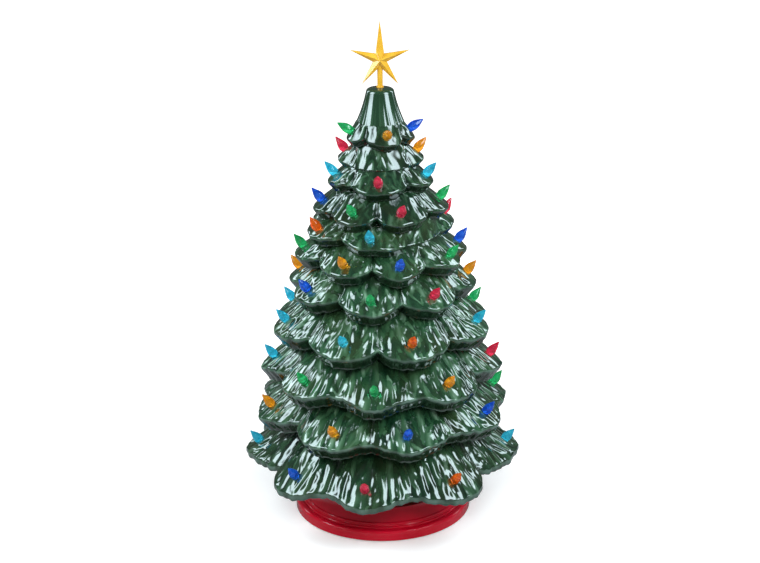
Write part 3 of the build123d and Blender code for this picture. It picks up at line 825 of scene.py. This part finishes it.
def new_material(name):
    material = bpy.data.materials.new(name)
    material.use_nodes = True
    return material, material.node_tree, material.node_tree.nodes["Principled BSDF"]


def add(tree, kind, **values):
    node = tree.nodes.new(kind)
    for key, value in values.items():
        setattr(node, key, value)
    return node


def feed(tree, socket, value):
    """Links a socket to another, or sets it to a number or a colour."""
    if isinstance(value, bpy.types.NodeSocket):
        tree.links.new(value, socket)
    elif isinstance(value, (int, float)):
        socket.default_value = value
    else:
        socket.default_value = (*value, 1)


def settings(node, **values):
    """Sets sockets by name, with underscores for spaces."""
    for key, value in values.items():
        node.inputs[key.replace("_", " ")].default_value = value


def noise(tree, scale, detail):
    coordinates = add(tree, "ShaderNodeTexCoord")
    node = add(tree, "ShaderNodeTexNoise")
    settings(node, Scale=scale, Detail=detail, Roughness=NOISE_ROUGHNESS)
    tree.links.new(coordinates.outputs["Object"], node.inputs["Vector"])
    return node.outputs["Fac"]


def ramp(tree, factor, stops):
    node = add(tree, "ShaderNodeValToRGB")
    while len(node.color_ramp.elements) < len(stops):
        node.color_ramp.elements.new(0.5)
    for element, (position, colour) in zip(node.color_ramp.elements, stops):
        element.position = position
        element.color = (*colour, 1)
    tree.links.new(factor, node.inputs["Fac"])
    return node.outputs["Color"]


def mix(tree, factor, a, b, blend="MIX"):
    node = add(tree, "ShaderNodeMix", data_type="RGBA", blend_type=blend)
    feed(tree, node.inputs["Factor"], factor)
    feed(tree, node.inputs[MIX_A], a)
    feed(tree, node.inputs[MIX_B], b)
    return node.outputs[MIX_RESULT]


def arithmetic(tree, operation, a, b=0):
    node = add(tree, "ShaderNodeMath", operation=operation)
    feed(tree, node.inputs[0], a)
    feed(tree, node.inputs[1], b)
    return node.outputs[0]


def attribute(tree, name):
    return add(tree, "ShaderNodeAttribute", attribute_name=name).outputs["Fac"]


def grey(value):
    return (value, value, value)


def mottle(tree, scale, detail, low, high):
    """A colour that varies between two."""
    return ramp(tree, noise(tree, scale, detail), ((NOISE_LOW, low), (NOISE_HIGH, high)))


def vary_gloss(tree, shader, scale, detail, low, high, top=GLOSS_HIGH):
    """Roughness that varies between two values."""
    stops = ((NOISE_LOW, grey(low)), (top, grey(high)))
    tree.links.new(ramp(tree, noise(tree, scale, detail), stops), shader.inputs["Roughness"])


def add_grain(tree, shader, scale, strength, distance):
    """A fine bump over the surface."""
    node = add(tree, "ShaderNodeBump")
    settings(node, Strength=strength, Distance=distance)
    tree.links.new(noise(tree, scale, GRAIN_DETAIL), node.inputs["Height"])
    tree.links.new(node.outputs["Normal"], shader.inputs["Normal"])


def green_glaze():
    """Dark green glaze that pools deep in the hollows and thins to a paler grey-green on ridges, with a
    painted sheen on rims and painted shade.
    """
    material, tree, shader = new_material("green_glaze")
    pooled = ramp(tree, attribute(tree, "tone"), GLAZE_STOPS)
    clouds = ramp(tree, noise(tree, scale=26, detail=4), OLIVE_STOPS)
    colour = mix(tree, arithmetic(tree, "MULTIPLY", clouds, OLIVE_SHARE), pooled, OLIVE)
    # Painted sheen: a pale grey-green mixed in where the mesh carries it
    painted_sheen = arithmetic(tree, "MULTIPLY", attribute(tree, "painted_sheen"), SHEEN_SHARE)
    colour = mix(tree, painted_sheen, colour, SHEEN_COLOUR)
    # Painted shade: the colour darkens where the mesh's shade is low
    dark = mix(tree, attribute(tree, "shade"), grey(SHADED), grey(1))
    tree.links.new(mix(tree, 1.0, colour, dark, "MULTIPLY"), shader.inputs["Base Color"])
    vary_gloss(tree, shader, scale=60, detail=3, low=0.05, high=0.12)
    settings(shader, IOR=1.6, Coat_Weight=0.6, Coat_Roughness=0.03)
    add_grain(tree, shader, scale=240, strength=0.08, distance=0.001)
    return material


def red_glaze():
    """Red glaze with slow changes of colour."""
    material, tree, shader = new_material("red_glaze")
    low, high = RED
    colour = mottle(tree, scale=18, detail=4, low=low, high=high)
    tree.links.new(colour, shader.inputs["Base Color"])
    vary_gloss(tree, shader, scale=70, detail=3, low=0.08, high=0.14)
    settings(shader, Coat_Weight=0.5, Coat_Roughness=0.05)
    add_grain(tree, shader, scale=160, strength=0.05, distance=0.001)
    return material


def clear_plastic(name, deep, bright, painted_glow, clear, cloud):
    """Translucent moulded plastic with cloudy variation inside, a painted glow in its own colours and a fine
    moulded grain.
    """
    material, tree, shader = new_material(name)
    colour = mottle(tree, scale=cloud, detail=2, low=deep, high=bright)
    tree.links.new(colour, shader.inputs["Base Color"])
    tree.links.new(colour, shader.inputs["Emission Color"])
    settings(shader, Emission_Strength=painted_glow, Transmission_Weight=clear, IOR=1.49)
    vary_gloss(tree, shader, scale=500, detail=2, low=0.05, high=0.14)
    add_grain(tree, shader, scale=420, strength=0.1, distance=0.0005)
    return material


def plain(name, low, high, scale, roughness, metallic=0.0, grain=0.1):
    """An opaque material with mottled colour and a fine grain."""
    material, tree, shader = new_material(name)
    colour = mottle(tree, scale, detail=4, low=low, high=high)
    tree.links.new(colour, shader.inputs["Base Color"])
    smoothest = roughness * ROUGHNESS_LOW
    roughest = min(1, roughness * ROUGHNESS_HIGH)
    vary_gloss(tree, shader, scale * 2, detail=3, low=smoothest, high=roughest, top=NOISE_HIGH)
    settings(shader, Metallic=metallic)
    add_grain(tree, shader, scale * 6, strength=grain, distance=0.0005)
    return material


def clear_glass():
    """The lamp's glass, a little uneven."""
    material, tree, shader = new_material("lamp_glass")
    low, high = GLASS
    colour = mottle(tree, scale=60, detail=2, low=low, high=high)
    tree.links.new(colour, shader.inputs["Base Color"])
    settings(shader, Transmission_Weight=1.0, Roughness=0.04, IOR=1.5)
    add_grain(tree, shader, scale=120, strength=0.05, distance=0.0005)
    return material


def dress(obj, material):
    obj.data.materials.clear()
    obj.data.materials.append(material)


# The tree's glazed skin: tiers, neck and the collar it stands on
collar_outline = [
    (FOOT_R - COLLAR_EDGE, COLLAR_TOP),
    (FOOT_R, COLLAR_TOP - COLLAR_EDGE),
    (FOOT_R, SEAT + COLLAR_EDGE),
    (FOOT_R - EDGE_IN, SEAT + EDGE_UP),
    (FOOT_R - COLLAR_EDGE, SEAT),
    (FOOT_IN + INNER_EDGE_OUT, SEAT),
]
skins = [tier_piece(index) for index in range(COUNT)]
skins.append(neck_piece())
skins.append(revolve("tree_collar", collar_outline))
glaze = green_glaze()
for piece in skins:
    dress(piece, glaze)
    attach(piece, "tree")
    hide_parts("tree_body")

# The tree's unglazed inside, from the collar up to the star's hole
inside_outline = [
    (FOOT_IN + INNER_EDGE_OUT, SEAT),
    (FOOT_IN, SEAT + INNER_EDGE_UP),
    (FOOT_IN, HOLLOW_FLOOR),
    (HOLLOW_R, HOLLOW_FLOOR),
    (HOLLOW_R, HOLLOW_WALL),
    HOLLOW_SHOULDER,
]
for index in range(COUNT - 1, -1, -1):
    inside_outline.append((TIERS[index].neck_r - WALL, neck_z(index)))
inside_outline += [(CROWN_INNER_R, CROWN_FLOOR), (STAR_HOLE_R, CROWN_FLOOR)]
inside = revolve("tree_inside", inside_outline, INSIDE_COLUMNS)
dress(inside, plain("bisque", (0.62, 0.6, 0.55), (0.74, 0.72, 0.67), scale=40, roughness=0.8))
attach(inside, "tree")
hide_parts("tree_body")

# Bulbs
for letter, colour in COLOURS.items():
    piece = bulb_piece(letter)
    deep, bright = BULB_COLOURS[letter]
    # The bulbs are given a painted glow
    dress(piece, clear_plastic("bulb_" + colour, deep, bright, painted_glow=0.18, clear=0.82, cloud=200))
    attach(piece, "tree")
    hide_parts("bulbs_" + colour)

# Beads round the base
red = red_glaze()
for number in range(len(BEADS)):
    piece = bead_piece(number)
    dress(piece, red)
    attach(piece, "base")

# CAD pieces that keep their shape
# The star is given a faint painted glow
yellow = clear_plastic(
    "star_plastic", (0.62, 0.31, 0.022), (0.74, 0.42, 0.045), painted_glow=0.1, clear=0.15, cloud=70
)
felt = plain("felt", (0.02, 0.02, 0.02), (0.05, 0.05, 0.05), scale=400, roughness=0.95, grain=0.5)
black = plain(
    "socket_plastic", (0.016, 0.016, 0.018), (0.026, 0.026, 0.028), scale=150, roughness=0.45
)
steel = plain(
    "spring_steel", (0.52, 0.53, 0.55), (0.64, 0.65, 0.67), scale=200, roughness=0.35, metallic=1.0
)
brass = plain("brass", (0.62, 0.42, 0.14), (0.74, 0.54, 0.22), scale=180, roughness=0.3, metallic=1.0)
insulator = plain("insulator", (0.01, 0.01, 0.012), (0.02, 0.02, 0.022), scale=220, roughness=0.2)
solder = plain("solder", (0.55, 0.55, 0.57), (0.68, 0.68, 0.7), scale=260, roughness=0.45, metallic=1.0)
glass = clear_glass()
NODE_MATERIALS = {
    "star_topper": yellow,
    "base": red,
    "foot_pads": felt,
    "lamp_socket": black,
    "socket_clips": steel,
    "lamp_filament": steel,
    "screw_shell": brass,
    "centre_contact": brass,
    "lamp_cap": brass,
    "lamp_insulator": insulator,
    "lamp_tip": solder,
    "lamp_glass": glass,
    "lamp_stem": glass,
}
for name, material in NODE_MATERIALS.items():
    dress(nodes[name], material)

# Stage: a floor that is pale to the camera, two soft boxes, two strips behind and a fill in front
FLOOR_SIZE = 14
FLOOR_LIT = (0.3, 0.3, 0.3)
FLOOR_SEEN = (0.94, 0.86, 0.84)
# The floor's own light: how strong it is near the object, and the distances between which it grows to 1
FLOOR_GLOW = 0.25
FLOOR_NEAR = 0.12
FLOOR_FAR = 0.9
WHITE = (1.0, 1.0, 1.0)
COOL = (0.76, 0.94, 1.0)
# Share of a panel's width and height over which it fades at each edge
PANEL_FADES = (("X", 0.35), ("Y", 0.2))
# Panels: name, bearing, distance, height of the middle, lean, width, height, power and colour
PANELS = (
    ("box_left", -70, 0.8, 0.94, 18, 0.75, 0.88, 21, COOL),
    ("box_right", 52, 0.8, 0.94, 18, 0.7, 0.88, 19.5, COOL),
    ("strip_left", -124, 0.9, 0.85, 12, 0.24, 0.8, 4.6, COOL),
    ("strip_right", 116, 0.9, 0.85, 12, 0.28, 0.8, 5.4, COOL),
    ("fill_front", 4, 1.5, 1.2, 36, 1.3, 0.5, 22, WHITE),
)
# The room's light, and what glossy surfaces mirror of it
ROOM = (0.34, 0.35, 0.36)
MIRRORED = (0.11, 0.115, 0.12)

bpy.ops.mesh.primitive_plane_add(size=FLOOR_SIZE, location=(0, 0, 0))
floor = bpy.context.object
floor.name = "floor"
floor_material, floor_tree, floor_shader = new_material("floor")
settings(floor_shader, Roughness=0.9, Specular_IOR_Level=0.1, Emission_Color=(1, 1, 1, 1))
camera_ray = add(floor_tree, "ShaderNodeLightPath").outputs["Is Camera Ray"]
floor_colour = mix(floor_tree, camera_ray, FLOOR_LIT, FLOOR_SEEN)
floor_tree.links.new(floor_colour, floor_shader.inputs["Base Color"])
# Away from the object the floor brightens, so that it stays white to the horizon
floor_place = add(floor_tree, "ShaderNodeTexCoord")
floor_reach = add(floor_tree, "ShaderNodeVectorMath", operation="LENGTH")
floor_tree.links.new(floor_place.outputs["Object"], floor_reach.inputs[0])
floor_glow = add(floor_tree, "ShaderNodeMapRange", interpolation_type="SMOOTHSTEP")
settings(floor_glow, From_Min=FLOOR_NEAR, From_Max=FLOOR_FAR, To_Min=FLOOR_GLOW)
floor_tree.links.new(floor_reach.outputs["Value"], floor_glow.inputs["Value"])
floor_lit = arithmetic(floor_tree, "MULTIPLY", floor_glow.outputs["Result"], camera_ray)
floor_tree.links.new(floor_lit, floor_shader.inputs["Emission Strength"])
dress(floor, floor_material)


def soft_box(name, bearing, distance, middle, lean, width, height, power, colour):
    """An upright lamp panel facing the object, leaning over it by an angle."""
    light = bpy.data.lights.new(name, "AREA")
    light.shape = "RECTANGLE"
    light.size = width
    light.size_y = height
    light.energy = power
    light.color = colour
    # The panel fades towards its edges
    light.use_nodes = True
    tree = light.node_tree
    face = add(tree, "ShaderNodeNewGeometry")
    axes = add(tree, "ShaderNodeSeparateXYZ")
    tree.links.new(face.outputs["Parametric"], axes.inputs[0])
    fades = []
    for axis, share in PANEL_FADES:
        from_middle = arithmetic(tree, "SUBTRACT", axes.outputs[axis], 0.5)
        fade = add(tree, "ShaderNodeMapRange", interpolation_type="SMOOTHSTEP")
        settings(fade, From_Min=0.5, From_Max=0.5 - share)
        tree.links.new(arithmetic(tree, "ABSOLUTE", from_middle), fade.inputs["Value"])
        fades.append(fade.outputs["Result"])
    emission = next(node for node in tree.nodes if node.type == "EMISSION")
    tree.links.new(arithmetic(tree, "MULTIPLY", *fades), emission.inputs["Strength"])
    turn = math.radians(bearing)
    tilt = math.radians(lean)
    outward = Vector((math.sin(turn), -math.cos(turn), 0))
    back = outward * math.cos(tilt) + Vector((0, 0, math.sin(tilt)))
    obj = link(name, light)
    obj.location = outward * distance + Vector((0, 0, middle))
    obj.rotation_euler = back.to_track_quat("Z", "Y").to_euler()
    obj.visible_camera = False
    return obj


panels = {name: soft_box(name, *values) for name, *values in PANELS}
panels["fill_front"].visible_glossy = False

scene = bpy.context.scene
world = bpy.data.worlds.new("studio")
scene.world = world
world.use_nodes = True
world_tree = world.node_tree
rays = add(world_tree, "ShaderNodeLightPath").outputs
room = mix(world_tree, rays["Is Glossy Ray"], ROOM, MIRRORED)
straight = arithmetic(world_tree, "MAXIMUM", rays["Is Camera Ray"], rays["Is Transmission Ray"])
seen = mix(world_tree, straight, room, WHITE)
world_tree.links.new(seen, world_tree.nodes["Background"].inputs["Color"])
scene.view_settings.view_transform = "Standard"

# Camera at the photograph's angle: the picture's width, focal length and shift in pixels, the sensor in
# millimetres, the place and the aim in metres, and the roll in degrees
PHOTO_WIDTH = 760
FOCAL = 1771
SHIFT_RIGHT = -1.5
SHIFT_UP = 10.5
SENSOR = 36
CAMERA_AT = (0, -2.0, 1.015)
AIM_AT = (0, 0, 0.28)
ROLL = -0.4
CLIP_END = 50
camera_data = bpy.data.cameras.new("camera")
camera = link("camera", camera_data)
camera_data.sensor_width = SENSOR
camera_data.lens = FOCAL * SENSOR / PHOTO_WIDTH
camera_data.shift_x = SHIFT_RIGHT / PHOTO_WIDTH
camera_data.shift_y = SHIFT_UP / PHOTO_WIDTH
camera_data.clip_end = CLIP_END
camera.location = CAMERA_AT
aim = Vector(AIM_AT) - camera.location
upright = aim.to_track_quat("-Z", "Y").to_matrix()
camera.rotation_euler = (upright @ Matrix.Rotation(math.radians(ROLL), 3, "Z")).to_euler()
scene.camera = camera
